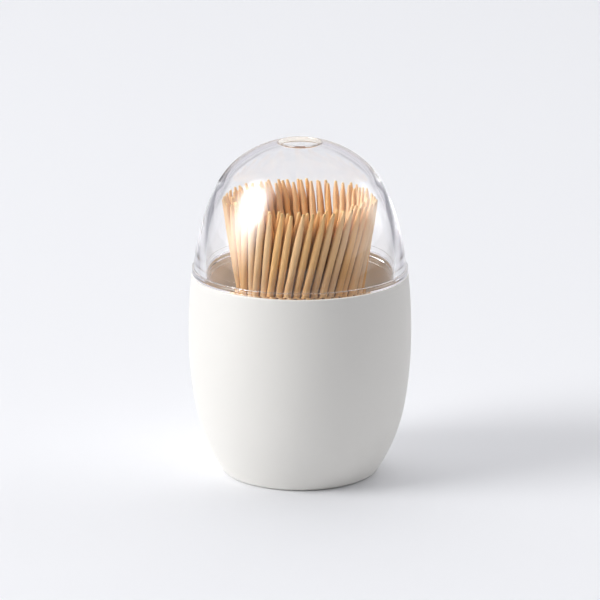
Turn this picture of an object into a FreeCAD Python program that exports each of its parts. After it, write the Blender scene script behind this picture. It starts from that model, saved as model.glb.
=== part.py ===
"""Egg shaped toothpick dispenser: cup, clear dome lid with a hole, inner cup and a ring of toothpicks.

Lengths are in millimetres and angles in degrees. +Z is up, and the origin is the centre of the
resting face. Every moulded piece is a turned shape: a half outline in the XZ plane, turned about Z.
"""
import FreeCAD, Part
import math
import os

import Sketcher

# Each row is the name of a size, its value and what it measures.
SIZES = (
    # Toothpicks.
    ("pick_length", 65.0, "one toothpick"),
    ("pick_diameter", 1.8, "shaft of a toothpick"),
    ("pick_tip_diameter", 0.62, "blunt end of a toothpick"),
    ("pick_taper", 9.0, "length of each pointed end"),
    ("pick_gap", 0.1, "least room between neighbouring toothpicks"),
    ("foot_gap", 0.15, "room under the middle of a toothpick's foot"),
    ("foot_inset", 0.49, "room between the outer feet and the inner cup's wall"),
    ("lean_gap", 0.15, "room between the outer toothpicks and the lip"),
    ("ring_turn", 34.3, "angle that the sheaf twists from the foot up to the lip"),
    ("level_rise", 4.3, "from the rim up to where the rows are spaced a second time"),
    # Inner cup.
    ("cup_floor_radius", 14.0, "inside corner of the inner cup's floor"),
    ("cup_floor", 0.8, "thickness of the inner cup's floor"),
    ("cup_wall", 1.1, "thickness of the inner cup's wall"),
    ("lip_flare", 0.76, "how much wider the inner cup is at its lip"),
    ("lip_drop", 11.7, "from the rim down to the inner cup's lip"),
    ("cup_edge_round", 0.35, "rounding of the lip"),
    ("cone_gap", 0.74, "room between the inmost feet and the cone in the inner cup's floor"),
    ("cone_tip_radius", 1.5, "flat top of the cone"),
    ("cone_height", 12.0, "height of the cone above the inner cup's floor"),
    # Body shell, inside and underneath.
    ("floor_height", 1.7, "top of the floor"),
    ("socket_gap", 0.1, "clearance between the inner cup and the ring that centres it"),
    ("socket_wall", 1.0, "thickness of that ring"),
    ("socket_height", 2.4, "height of that ring above the floor"),
    ("socket_margin", 0.3, "flat floor round that ring"),
    ("belly_wall", 2.3, "wall at the belly"),
    ("rim_wall", 2.0, "wall at the rim"),
    ("foot_ring_width", 2.4, "ring that the body stands on"),
    ("foot_recess", 0.5, "hollow under the floor"),
    # Body shell, outside.
    ("heel_wall", 1.5, "how far the foot's edge lies outside the floor's corner"),
    ("belly_swell", 8.0, "how much wider the belly is than the foot"),
    ("flank_curve", 99.0, "radius of the flank's arc"),
    ("rim_inset", 0.8, "how much narrower the rim is than the belly"),
    ("pick_show", 19.8, "how much of a toothpick standing upright shows above the rim"),
    ("base_edge_round", 0.9, "rounding of the foot's edge"),
    ("rim_edge_round", 0.3, "rounding of the rim's edges"),
    # Dome lid.
    ("seat_gap", 0.1, "seam between the rim and the lid's flange"),
    ("flange_height", 1.4, "ring at the dome's foot"),
    ("flange_inset", 0.1, "how far that ring stays inside the rim's edge"),
    ("flange_step", 0.35, "how far that ring stands out from the dome"),
    ("flange_edge_round", 0.1, "rounding of that ring's outer edges"),
    ("head_room", 11.4, "from the top of a toothpick standing upright to the top of the dome"),
    ("hole_radius", 4.85, "dispensing hole"),
    ("hole_edge_round", 0.25, "rounding of the hole's edges"),
    ("crown_inset", 1.3, "how much smaller the crown arc's radius is than the dome's foot"),
    ("crown_margin", 11.15, "how far inside the dome's foot the crown meets the shoulder"),
    ("shoulder_inset", 5.95, "how much smaller the shoulder arc's radius is than the dome's foot"),
    ("side_drop", 4.9, "how far the side arc's centre lies below the flange's top"),
    ("crown_wall", 1.3, "thickness of the dome at the hole"),
    ("inner_crown_inset", 1.0, "how much smaller the inner crown arc's radius is than the bore"),
    ("inner_crown_margin", 8.95, "how far inside the bore the inner crown meets the shoulder"),
    ("inner_shoulder_inset", 7.1, "how much smaller the inner shoulder arc's radius is than the bore"),
    ("spigot_gap", 0.2, "clearance between the spigot and the mouth"),
    ("spigot_wall", 0.7, "thickness of the spigot"),
    ("spigot_depth", 2.6, "how far the spigot reaches below the seam"),
    ("bead_depth", 0.9, "from the seam to the upper edge of the snap bead"),
    ("bead_width", 0.7, "height of the flat of the snap bead"),
    ("bead_rise", 0.12, "how far the snap bead stands out"),
    ("bead_slope", 0.3, "height of each sloping side of the snap bead"),
)

# Levels of the outline's widest point and of its heel, as shares of the rim's height.
BELLY_SHARE = 0.692
HEEL_SHARE = 0.34
# How far the inmost feet stand inside the outer ones, as a share of one toothpick's room.
BED_SHARE = 3.18

# Rows of the sheaf, from the outside in: name, step inwards at the lip and at the upper level, as shares
# of the room that one toothpick takes, how far the row is ahead at the lip and behind at the upper
# level, and where it starts, as shares of the angle between its picks.
ROW_SHARES = (
    ("outer", 0.0, 0.0, 0.0, 0.0),
    ("second", 0.40, 0.145, 0.0125, 0.5),
    ("third", 1.45, 1.18, 0.0, 0.15),
    ("inner", 2.26, 1.60, 0.0, 0.65),
)
# Room of each pick in the inner row of each pair of rows, as a share of the room that one takes.
PAIR_ROOM_SHARES = (1.55, 1.0)
ROWS_IN_PAIR = 2
GROUPED_ROWS = ("third", "inner")
PICKS_IN_GROUP = 6

OUTPUT_FOLDER = "parts"
SHEET_NAME = "Sizes"
FULL_TURN = 360.0
HALF_SHARE = 0.5
TOLERANCE = 1e-4


class Size:
    """A length of the sheet, or a sum of such lengths: it knows its value and its formula."""

    def __init__(self, value, formula):
        self.value = value
        self.formula = formula

    def __add__(self, other):
        return Size(self.value + other.value, "(" + self.formula + " + " + other.formula + ")")

    def __sub__(self, other):
        return Size(self.value - other.value, "(" + self.formula + " - " + other.formula + ")")

    def times(self, share):
        return Size(self.value * share, "(" + self.formula + " * " + repr(share) + ")")


ZERO = Size(0.0, "0")


def make_sheet(doc):
    """Write the table of sizes into a spreadsheet and return it with the sizes by name."""
    sheet = doc.addObject("Spreadsheet::Sheet", SHEET_NAME)
    sizes = {}
    for row, (name, value, note) in enumerate(SIZES, start=1):
        sheet.set("A%d" % row, name)
        sheet.set("B%d" % row, repr(value))
        sheet.setAlias("B%d" % row, name)
        sheet.set("C%d" % row, note)
    doc.recompute()
    for name, value, note in SIZES:
        sizes[name] = Size(float(sheet.get(name)), SHEET_NAME + "." + name)
    return sizes


def add_derived(sizes):
    """Work out the places that the pieces share, from the toothpicks outwards."""
    # Levels, from the floor up.
    sizes["cup_floor_top"] = sizes["floor_height"] + sizes["cup_floor"]
    sizes["pick_top"] = sizes["cup_floor_top"] + sizes["pick_length"]
    sizes["rim_height"] = sizes["pick_top"] - sizes["pick_show"]
    sizes["belly_height"] = sizes["rim_height"].times(BELLY_SHARE)
    sizes["heel_height"] = sizes["rim_height"].times(HEEL_SHARE)
    sizes["cup_lip_height"] = sizes["rim_height"] - sizes["lip_drop"]
    sizes["upper_level"] = sizes["rim_height"] + sizes["level_rise"]
    sizes["lid_seat"] = sizes["rim_height"] + sizes["seat_gap"]
    sizes["flange_top"] = sizes["lid_seat"] + sizes["flange_height"]
    sizes["dome_top"] = sizes["pick_top"] + sizes["head_room"]
    # Radii of the inner cup.
    sizes["pick_room"] = sizes["pick_diameter"] + sizes["pick_gap"]
    outer_feet = sizes["cup_floor_radius"] - sizes["foot_inset"] - sizes["pick_tip_diameter"]
    sizes["cone_radius"] = outer_feet - sizes["pick_room"].times(BED_SHARE) - sizes["cone_gap"]
    sizes["cup_lip_radius"] = sizes["cup_floor_radius"] + sizes["lip_flare"]
    sizes["cup_foot_radius"] = sizes["cup_floor_radius"] + sizes["cup_wall"]
    # Radii of the body shell.
    sizes["socket_inside"] = sizes["cup_foot_radius"] + sizes["socket_gap"]
    sizes["socket_outside"] = sizes["socket_inside"] + sizes["socket_wall"]
    sizes["cavity_floor_radius"] = sizes["socket_outside"] + sizes["socket_margin"]
    sizes["base_radius"] = sizes["cavity_floor_radius"] + sizes["heel_wall"]
    sizes["belly_radius"] = sizes["base_radius"] + sizes["belly_swell"]
    sizes["rim_radius"] = sizes["belly_radius"] - sizes["rim_inset"]
    sizes["mouth_radius"] = sizes["rim_radius"] - sizes["rim_wall"]
    # Radii of the lid.
    sizes["flange_radius"] = sizes["rim_radius"] - sizes["flange_inset"]
    sizes["dome_foot_radius"] = sizes["flange_radius"] - sizes["flange_step"]
    sizes["spigot_radius"] = sizes["mouth_radius"] - sizes["spigot_gap"]
    sizes["bore_radius"] = sizes["spigot_radius"] - sizes["spigot_wall"]


class Outline:
    """A closed outline in a body's XZ plane whose corners and arcs are fixed by sizes."""

    def __init__(self, body, name):
        self.sketch = body.newObject("Sketcher::SketchObject", name)
        plane = [item for item in body.Origin.OriginFeatures if item.Role == "XZ_Plane"][0]
        self.sketch.AttachmentSupport = (plane, "")
        self.sketch.MapMode = "FlatFace"
        self.ends = []
        self.first_sizes = None
        self.last = None

    def fix(self, kind, geometry, point, size):
        """Hold one coordinate of a point at a size, or on the axis when the size is zero."""
        if size is ZERO:
            axis = -2 if kind == "DistanceX" else -1
            self.sketch.addConstraint(Sketcher.Constraint("PointOnObject", geometry, point, axis))
            return
        if size.value < 0:
            lower = Sketcher.Constraint(kind, geometry, point, -1, 1, -size.value)
            index = self.sketch.addConstraint(lower)
            self.sketch.setExpression("Constraints[%d]" % index, "0 - " + size.formula)
            return
        upper = Sketcher.Constraint(kind, -1, 1, geometry, point, size.value)
        index = self.sketch.addConstraint(upper)
        self.sketch.setExpression("Constraints[%d]" % index, size.formula)

    def begin(self, across, up):
        """Set the first corner."""
        self.first_sizes = (across, up)
        self.last = FreeCAD.Vector(across.value, up.value, 0)

    def join(self, geometry, start, end, across, up, tangent):
        """Tie a new edge to the one before it and fix its end."""
        if self.ends:
            before, before_end = self.ends[-1][0], self.ends[-1][2]
            kind = "Tangent" if tangent else "Coincident"
            tie = Sketcher.Constraint(kind, before, before_end, geometry, start)
            self.sketch.addConstraint(tie)
        else:
            self.fix("DistanceX", geometry, start, self.first_sizes[0])
            self.fix("DistanceY", geometry, start, self.first_sizes[1])
        if across is not None:
            self.fix("DistanceX", geometry, end, across)
        if up is not None:
            self.fix("DistanceY", geometry, end, up)
        self.ends.append((geometry, start, end))

    def line(self, across, up):
        """Draw a straight edge to a corner."""
        corner = FreeCAD.Vector(across.value, up.value, 0)
        geometry = self.sketch.addGeometry(Part.LineSegment(self.last, corner))
        self.join(geometry, 1, 2, across, up, False)
        self.last = corner

    def arc(self, centre, corner, across=None, up=None, clockwise=False, tangent=False,
            radius=None, centre_across=None, centre_up=None):
        """Draw an arc to a corner whose place was worked out, and fix what the sizes fix."""
        begin_angle = math.atan2(self.last.y - centre.y, self.last.x - centre.x)
        end_angle = math.atan2(corner.y - centre.y, corner.x - centre.x)
        circle = Part.Circle(centre, FreeCAD.Vector(0, 0, 1), centre.distanceToPoint(self.last))
        if clockwise:
            shape = Part.ArcOfCircle(circle, end_angle, begin_angle)
        else:
            shape = Part.ArcOfCircle(circle, begin_angle, end_angle)
        geometry = self.sketch.addGeometry(shape)
        start, end = (2, 1) if clockwise else (1, 2)
        self.join(geometry, start, end, across, up, tangent)
        if radius is not None:
            index = self.sketch.addConstraint(Sketcher.Constraint("Radius", geometry, radius.value))
            self.sketch.setExpression("Constraints[%d]" % index, radius.formula)
        if centre_across is not None:
            self.fix("DistanceX", geometry, 3, centre_across)
        if centre_up is not None:
            self.fix("DistanceY", geometry, 3, centre_up)
        self.last = corner

    def close(self):
        """Tie the last edge to the first corner, with a straight edge where they are apart."""
        across, up = self.first_sizes
        corner = FreeCAD.Vector(across.value, up.value, 0)
        if corner.distanceToPoint(self.last) > TOLERANCE:
            geometry = self.sketch.addGeometry(Part.LineSegment(self.last, corner))
            self.join(geometry, 1, 2, None, None, False)
        first, final = self.ends[0], self.ends[-1]
        tie = Sketcher.Constraint("Coincident", final[0], final[2], first[0], first[1])
        self.sketch.addConstraint(tie)
        return self.sketch


def turn(body, sketch, name, cut=False):
    """Turn an outline about Z, as added or as removed material."""
    feature = body.newObject("PartDesign::Groove" if cut else "PartDesign::Revolution", name)
    feature.Profile = (sketch, [""])
    feature.ReferenceAxis = (sketch, ["V_Axis"])
    feature.Angle = FULL_TURN
    return feature


def circle_edges(shape, places):
    """Names of the full circles about Z at the given radii and heights."""
    names = []
    for number, edge in enumerate(shape.Edges, start=1):
        if not isinstance(edge.Curve, Part.Circle):
            continue
        for radius, height in places:
            same_radius = abs(edge.Curve.Radius - radius.value) < TOLERANCE
            same_height = abs(edge.Curve.Center.z - height.value) < TOLERANCE
            if same_radius and same_height:
                names.append("Edge%d" % number)
    if len(names) != len(places):
        raise ValueError("found %d of %d edges to round" % (len(names), len(places)))
    return names


def round_edges(doc, body, base, places, radius, name):
    """Round the circles at the given places."""
    doc.recompute()
    fillet = body.newObject("PartDesign::Fillet", name)
    fillet.Base = (base, circle_edges(base.Shape, places))
    fillet.Radius = radius.value
    fillet.setExpression("Radius", radius.formula)
    return fillet


def make_body_shell(doc, sizes):
    """White cup: three tangent arcs outside, two inside, a foot ring and a socket for the inner cup."""
    body = doc.addObject("PartDesign::Body", "body_shell")
    base_radius = sizes["base_radius"]
    rim_radius, rim_height = sizes["rim_radius"], sizes["rim_height"]
    belly_radius, belly_height = sizes["belly_radius"], sizes["belly_height"]

    # The flank's arc is upright at the belly, and the foot's arc leaves it at the heel.
    flank = sizes["flank_curve"].value
    flank_centre = FreeCAD.Vector(belly_radius.value - flank, belly_height.value, 0)
    fall = math.asin((belly_height.value - sizes["heel_height"].value) / flank)
    outward = FreeCAD.Vector(math.cos(fall), -math.sin(fall), 0)
    heel = flank_centre + outward * flank
    base = FreeCAD.Vector(base_radius.value, 0, 0)
    chord = base - heel
    foot_curve = -chord.dot(chord) / (2 * chord.dot(outward))
    belly = FreeCAD.Vector(belly_radius.value, belly_height.value, 0)
    rim = FreeCAD.Vector(rim_radius.value, rim_height.value, 0)
    outline = Outline(body, "body_outline")
    outline.begin(ZERO, ZERO)
    outline.line(base_radius, ZERO)
    outline.arc(heel - outward * foot_curve, heel, up=sizes["heel_height"])
    outline.arc(flank_centre, belly, belly_radius, belly_height, tangent=True,
                radius=sizes["flank_curve"], centre_up=belly_height)
    outline.arc(upright_centre(belly, rim), rim, rim_radius, rim_height, tangent=True)
    outline.line(ZERO, rim_height)
    solid = turn(body, outline.close(), "body_solid")

    # The cavity's two arcs meet upright at the belly.
    floor = FreeCAD.Vector(sizes["cavity_floor_radius"].value, sizes["floor_height"].value, 0)
    wide = belly_radius - sizes["belly_wall"]
    mouth = sizes["mouth_radius"]
    inner_belly = FreeCAD.Vector(wide.value, belly_height.value, 0)
    inner_rim = FreeCAD.Vector(mouth.value, rim_height.value, 0)
    outline = Outline(body, "cavity_outline")
    outline.begin(ZERO, sizes["floor_height"])
    outline.line(sizes["cavity_floor_radius"], sizes["floor_height"])
    outline.arc(upright_centre(inner_belly, floor), inner_belly, wide, belly_height,
                centre_up=belly_height)
    outline.arc(upright_centre(inner_belly, inner_rim), inner_rim, mouth, rim_height, tangent=True)
    outline.line(ZERO, rim_height)
    turn(body, outline.close(), "cavity", cut=True)

    # The hollow under the floor leaves a ring to stand on.
    hollow = base_radius - sizes["foot_ring_width"]
    outline = Outline(body, "foot_hollow_outline")
    outline.begin(ZERO, ZERO)
    outline.line(hollow, ZERO)
    outline.line(hollow - sizes["foot_recess"], sizes["foot_recess"])
    outline.line(ZERO, sizes["foot_recess"])
    turn(body, outline.close(), "foot_hollow", cut=True)

    # The socket stands on the floor round the inner cup's foot.
    inside, outside = sizes["socket_inside"], sizes["socket_outside"]
    top = sizes["floor_height"] + sizes["socket_height"]
    root = sizes["floor_height"].times(HALF_SHARE)
    outline = Outline(body, "socket_outline")
    outline.begin(inside, root)
    outline.line(outside, root)
    outline.line(outside, top)
    outline.line(inside, top)
    last = turn(body, outline.close(), "socket")

    last = round_edges(doc, body, last, [(base_radius, ZERO)], sizes["base_edge_round"], "base_edge")
    edges = [(rim_radius, rim_height), (mouth, rim_height)]
    round_edges(doc, body, last, edges, sizes["rim_edge_round"], "rim_edges")
    return body


def upright_centre(upright, other):
    """Centre of the arc that is upright at one point and passes through another."""
    across = upright.x - other.x
    up = upright.y - other.y
    radius = (across * across + up * up) / (2 * across)
    return FreeCAD.Vector(upright.x - radius, upright.y, 0)


def dome_arcs(top, hole, crown, spread, shoulder, foot, drop):
    """Work out three tangent arcs from the hole's edge at the top down to the dome's foot.

    The crown's centre is on the axis, the shoulder touches the crown where the crown is `spread`
    wide, and the side touches the shoulder and passes through the foot with its centre `drop`
    below the foot. Returns the three centres and the two points between the arcs.
    """
    crown_centre = FreeCAD.Vector(0, top - math.sqrt(crown * crown - hole * hole), 0)
    lean = math.asin(spread / crown)
    outward = FreeCAD.Vector(math.sin(lean), math.cos(lean), 0)
    upper = crown_centre + outward * crown
    shoulder_centre = upper - outward * shoulder
    across = foot.x - shoulder_centre.x
    up = shoulder_centre.y - foot.y + drop
    # The side's centre is `reach` inside the foot: the two radii differ by the centres' distance.
    rest = drop * drop + shoulder * shoulder - across * across - up * up
    square = 4 * (across * across - shoulder * shoulder)
    linear = 4 * across * rest
    constant = rest * rest - 4 * shoulder * shoulder * drop * drop
    reach = (-linear + math.sqrt(linear * linear - 4 * square * constant)) / (2 * square)
    side_centre = FreeCAD.Vector(foot.x - reach, foot.y - drop, 0)
    along = (shoulder_centre - side_centre).normalize()
    lower = shoulder_centre + along * shoulder
    return crown_centre, shoulder_centre, side_centre, upper, lower


def make_dome_lid(doc, sizes):
    """Clear lid: dome with a hole, flange on the rim, spigot with a snap bead in the mouth."""
    body = doc.addObject("PartDesign::Body", "dome_lid")
    seat, flange_top, top = sizes["lid_seat"], sizes["flange_top"], sizes["dome_top"]
    flange_radius, foot_radius = sizes["flange_radius"], sizes["dome_foot_radius"]
    spigot_radius, bore_radius = sizes["spigot_radius"], sizes["bore_radius"]
    hole = sizes["hole_radius"]
    under = top - sizes["crown_wall"]
    crown = foot_radius - sizes["crown_inset"]
    spread = foot_radius - sizes["crown_margin"]
    shoulder = foot_radius - sizes["shoulder_inset"]
    spigot_end = seat - sizes["spigot_depth"]
    bead_radius = spigot_radius + sizes["bead_rise"]
    bead_top = seat - sizes["bead_depth"]
    bead_flat_top = bead_top - sizes["bead_slope"]
    bead_flat_end = bead_flat_top - sizes["bead_width"]
    bead_end = bead_flat_end - sizes["bead_slope"]

    foot = FreeCAD.Vector(foot_radius.value, flange_top.value, 0)
    crown_centre, shoulder_centre, side_centre, upper, lower = dome_arcs(
        top.value, hole.value, crown.value, spread.value, shoulder.value, foot,
        sizes["side_drop"].value)
    outline = Outline(body, "dome_outline")
    outline.begin(hole, under)
    outline.line(hole, top)
    outline.arc(crown_centre, upper, across=spread, clockwise=True, radius=crown,
                centre_across=ZERO)
    outline.arc(shoulder_centre, lower, clockwise=True, tangent=True, radius=shoulder)
    outline.arc(side_centre, foot, foot_radius, flange_top, clockwise=True, tangent=True,
                centre_up=flange_top - sizes["side_drop"])
    outline.line(flange_radius, flange_top)
    outline.line(flange_radius, seat)
    outline.line(spigot_radius, seat)
    outline.line(spigot_radius, bead_top)
    outline.line(bead_radius, bead_flat_top)
    outline.line(bead_radius, bead_flat_end)
    outline.line(spigot_radius, bead_end)
    outline.line(spigot_radius, spigot_end)
    outline.line(bore_radius, spigot_end)
    outline.line(bore_radius, flange_top)

    # The inner face starts upright, so that the moulding comes off its core.
    inner_foot = FreeCAD.Vector(bore_radius.value, flange_top.value, 0)
    crown = bore_radius - sizes["inner_crown_inset"]
    spread = bore_radius - sizes["inner_crown_margin"]
    shoulder = bore_radius - sizes["inner_shoulder_inset"]
    crown_centre, shoulder_centre, side_centre, upper, lower = dome_arcs(
        under.value, hole.value, crown.value, spread.value, shoulder.value, inner_foot, 0.0)
    hole_edge = FreeCAD.Vector(hole.value, under.value, 0)
    outline.arc(side_centre, lower, centre_up=flange_top)
    outline.arc(shoulder_centre, upper, across=spread, tangent=True, radius=shoulder)
    outline.arc(crown_centre, hole_edge, tangent=True, radius=crown, centre_across=ZERO)
    last = turn(body, outline.close(), "dome")
    last = round_edges(doc, body, last, [(hole, top), (hole, under)], sizes["hole_edge_round"],
                       "hole_edges")
    edges = [(flange_radius, flange_top), (flange_radius, seat)]
    round_edges(doc, body, last, edges, sizes["flange_edge_round"], "flange_edges")
    return body


def make_pick_cup(doc, sizes):
    """Inner cup: tapered wall, floor with a cone that keeps the middle of the ring open."""
    body = doc.addObject("PartDesign::Body", "pick_cup")
    bottom = sizes["floor_height"]
    floor = sizes["cup_floor_top"]
    lip = sizes["cup_lip_height"]
    lip_outside = sizes["cup_lip_radius"] + sizes["cup_wall"]
    cone_top = floor + sizes["cone_height"]
    outline = Outline(body, "cup_outline")
    outline.begin(ZERO, bottom)
    outline.line(sizes["cup_foot_radius"], bottom)
    outline.line(sizes["cup_foot_radius"], bottom + sizes["socket_height"])
    outline.line(lip_outside, lip)
    outline.line(sizes["cup_lip_radius"], lip)
    outline.line(sizes["cup_floor_radius"], floor)
    outline.line(sizes["cone_radius"], floor)
    outline.line(sizes["cone_tip_radius"], cone_top)
    outline.line(ZERO, cone_top)
    last = turn(body, outline.close(), "cup")
    edges = [(lip_outside, lip), (sizes["cup_lip_radius"], lip)]
    round_edges(doc, body, last, edges, sizes["cup_edge_round"], "lip_edges")
    return body


def make_toothpick(doc, sizes):
    """One toothpick standing on the origin: a round shaft with two slightly bulging points."""
    body = doc.addObject("PartDesign::Body", "toothpick_pattern")
    radius = sizes["pick_diameter"].times(HALF_SHARE)
    tip = sizes["pick_tip_diameter"].times(HALF_SHARE)
    length, taper = sizes["pick_length"], sizes["pick_taper"]
    lower = FreeCAD.Vector(radius.value, taper.value, 0)
    upper = FreeCAD.Vector(radius.value, length.value - taper.value, 0)
    foot = FreeCAD.Vector(tip.value, 0, 0)
    head = FreeCAD.Vector(tip.value, length.value, 0)
    outline = Outline(body, "toothpick_outline")
    outline.begin(ZERO, ZERO)
    outline.line(tip, ZERO)
    outline.arc(upright_centre(lower, foot), lower, radius, taper, centre_up=taper)
    outline.line(radius, length - taper)
    outline.arc(upright_centre(upper, head), head, tip, length, centre_up=length - taper)
    outline.line(ZERO, length)
    turn(body, outline.close(), "toothpick")
    return body


def axis_through(low, high, foot_height, length):
    """Foot and direction of the toothpick whose axis passes through two points."""
    direction = (high - low).normalize()
    foot = low + direction * ((foot_height - low.z) / direction.z)
    return foot, direction


def ring_point(radius, angle, height):
    """Point at a radius, an angle in radians and a height."""
    return FreeCAD.Vector(radius * math.cos(angle), radius * math.sin(angle), height)


def waist_radius(low, high):
    """Least distance from Z of the straight line through two points."""
    direction = (high - low).normalize()
    return abs(low.x * direction.y - low.y * direction.x) / math.hypot(direction.x, direction.y)


class Sheaf:
    """The twisted ring of toothpicks: feet on the inner cup's floor, shafts on its lip.

    The outer row's axes run from a foot in the floor's corner to a point against the lip,
    `ring_turn` further round. The rows come in pairs whose picks stand between each other, and every
    row keeps the outer row's turn between the lip and the upper level.
    """

    def __init__(self, sizes):
        value = {name: size.value for name, size in sizes.items()}
        self.length = value["pick_length"]
        self.pitch = value["pick_room"]
        self.foot_height = value["cup_floor_top"] + value["foot_gap"]
        self.lip_height = value["cup_lip_height"]
        self.upper_level = value["upper_level"]
        foot_radius = value["cup_floor_radius"] - value["pick_tip_diameter"] * HALF_SHARE - value["foot_inset"]
        lip_radius = value["cup_lip_radius"] - value["pick_diameter"] * HALF_SHARE - value["lean_gap"]
        foot = ring_point(foot_radius, 0.0, self.foot_height)
        at_lip = ring_point(lip_radius, math.radians(value["ring_turn"]), self.lip_height)
        climb = (self.upper_level - self.lip_height) / (self.lip_height - self.foot_height)
        at_level = at_lip + (at_lip - foot) * climb
        self.lip_radius = lip_radius
        self.level_radius = math.hypot(at_level.x, at_level.y)
        self.turn = math.atan2(at_level.y, at_level.x) - math.atan2(at_lip.y, at_lip.x)

    def ends(self, lip_share, level_share, ahead=0.0, behind=0.0):
        """Points of one toothpick's axis at the lip and at the upper level."""
        low = ring_point(self.lip_radius - lip_share * self.pitch, ahead, self.lip_height)
        level_radius = self.level_radius - level_share * self.pitch
        high = ring_point(level_radius, behind + self.turn, self.upper_level)
        return low, high

    def count(self, lip_share, level_share, room_share):
        """Number of toothpicks that a row has room for at its waist."""
        low, high = self.ends(lip_share, level_share)
        upright = (high - low).normalize().z
        around = 2 * math.pi * waist_radius(low, high) * upright
        return int(around / (room_share * self.pitch))

    def row(self, lip_share, level_share, lead_share, start_share, count):
        """Feet and directions of one row's toothpicks."""
        axes = []
        for number in range(count):
            ahead = 2 * math.pi * (number + start_share + lead_share) / count
            behind = 2 * math.pi * (number + start_share - lead_share) / count
            low, high = self.ends(lip_share, level_share, ahead, behind)
            axes.append(axis_through(low, high, self.foot_height, self.length))
        return axes


def make_toothpicks(doc, sizes):
    """Place the toothpicks of every row: one node each, or a node for a few of an inner row."""
    pattern = make_toothpick(doc, sizes)
    doc.recompute()
    sheaf = Sheaf(sizes)
    nodes = []
    for place, (name, lip_share, level_share, lead_share, start_share) in enumerate(ROW_SHARES):
        # Both rows of a pair have the count that the inner one has room for.
        pair = place // ROWS_IN_PAIR
        narrow_lip, narrow_level = ROW_SHARES[ROWS_IN_PAIR * pair + 1][1:3]
        count = sheaf.count(narrow_lip, narrow_level, PAIR_ROOM_SHARES[pair])
        axes = sheaf.row(lip_share, level_share, lead_share, start_share, count)
        if name in GROUPED_ROWS:
            groups = [axes[first:first + PICKS_IN_GROUP] for first in range(0, count, PICKS_IN_GROUP)]
        else:
            groups = [[axis] for axis in axes]
        for number, group in enumerate(groups, start=1):
            label = "toothpick%s_%s_%02d" % ("s" if len(group) > 1 else "", name, number)
            nodes.append(place_toothpicks(doc, pattern, label, group))
    return nodes


def place_toothpicks(doc, pattern, label, axes):
    """Make one node of the toothpicks that stand on the given axes."""
    up = FreeCAD.Vector(0, 0, 1)
    solids = []
    for foot, direction in axes:
        solid = pattern.Shape.copy()
        solid.Placement = FreeCAD.Placement(foot, FreeCAD.Rotation(up, direction))
        solids.append(solid)
    node = doc.addObject("Part::Feature", label)
    node.Shape = solids[0] if len(solids) == 1 else Part.makeCompound(solids)
    return node


def check(doc, nodes):
    """Stop if any object failed or any node's shape isn't a valid solid."""
    for item in doc.Objects:
        if "Invalid" in item.State or "Error" in item.State:
            raise ValueError("object failed: " + item.Name)
        if item.isDerivedFrom("Sketcher::SketchObject") and item.solve() != 0:
            raise ValueError("sketch is not solved: " + item.Name)
    for node in nodes:
        if node.Shape.isNull() or not node.Shape.isValid() or not node.Shape.Solids:
            raise ValueError("bad shape: " + node.Label)


def main():
    doc = FreeCAD.newDocument("toothpick_dispenser")
    sizes = make_sheet(doc)
    add_derived(sizes)
    nodes = [make_body_shell(doc, sizes), make_pick_cup(doc, sizes), make_dome_lid(doc, sizes)]
    nodes += make_toothpicks(doc, sizes)
    doc.recompute()
    check(doc, nodes)
    os.makedirs(OUTPUT_FOLDER, exist_ok=True)
    for node in nodes:
        node.Shape.exportStep(os.path.join(OUTPUT_FOLDER, node.Label + ".step"))
    print("nodes", len(nodes), "solids", sum(len(node.Shape.Solids) for node in nodes))


main()
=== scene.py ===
"""Looks of an egg shaped toothpick dispenser: matt cup, clear dome lid, inner cup and bamboo picks.

The classes hold their sizes in millimetres, and a mesh is written in metres. Every moulded piece is a
turned shape: a path of (radius, height) points carried once round the upright axis. A toothpick is a
circle carried along a straight axis, which is read from the frame. The studio's places are in metres.
"""
import logging
import math
from dataclasses import dataclass, field
from enum import Enum
from typing import Iterable, Sequence

import bpy
import numpy as np
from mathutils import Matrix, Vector


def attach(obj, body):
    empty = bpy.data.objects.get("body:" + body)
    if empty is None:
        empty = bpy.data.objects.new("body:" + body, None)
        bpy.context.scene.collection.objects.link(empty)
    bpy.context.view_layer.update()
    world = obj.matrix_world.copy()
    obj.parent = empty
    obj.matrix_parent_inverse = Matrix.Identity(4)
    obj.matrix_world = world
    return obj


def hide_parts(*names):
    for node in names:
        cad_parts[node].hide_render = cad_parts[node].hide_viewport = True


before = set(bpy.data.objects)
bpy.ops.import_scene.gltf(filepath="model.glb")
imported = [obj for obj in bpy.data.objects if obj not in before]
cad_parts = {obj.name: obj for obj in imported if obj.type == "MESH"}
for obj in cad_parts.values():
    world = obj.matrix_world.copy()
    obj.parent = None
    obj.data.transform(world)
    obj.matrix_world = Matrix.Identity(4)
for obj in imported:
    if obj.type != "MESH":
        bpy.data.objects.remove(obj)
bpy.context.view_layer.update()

log = logging.getLogger("dispenser")

MM = 0.001
FULL_TURN = 2 * math.pi

# The curve of an sRGB colour: a straight line up to the toe, and a power above it.
TOE, TOE_SLOPE, OFFSET, POWER = 0.04045, 12.92, 0.055, 2.4
HIGHEST_BYTE = 255

# Sockets of a Mix node for colours: the two colours that it mixes, and its result.
COLOUR_A, COLOUR_B, MIXED = 6, 7, 2


class Body(Enum):
    """Bodies of the frame that a piece can ride on."""

    CUP = "cup"
    LID = "lid"


class Slot(Enum):
    """Material slots of the record."""

    WHITE_BODY = "white_body"
    CLEAR_DOME = "clear_dome"
    INNER_CUP = "inner_cup"
    BAMBOO = "bamboo"


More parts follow.
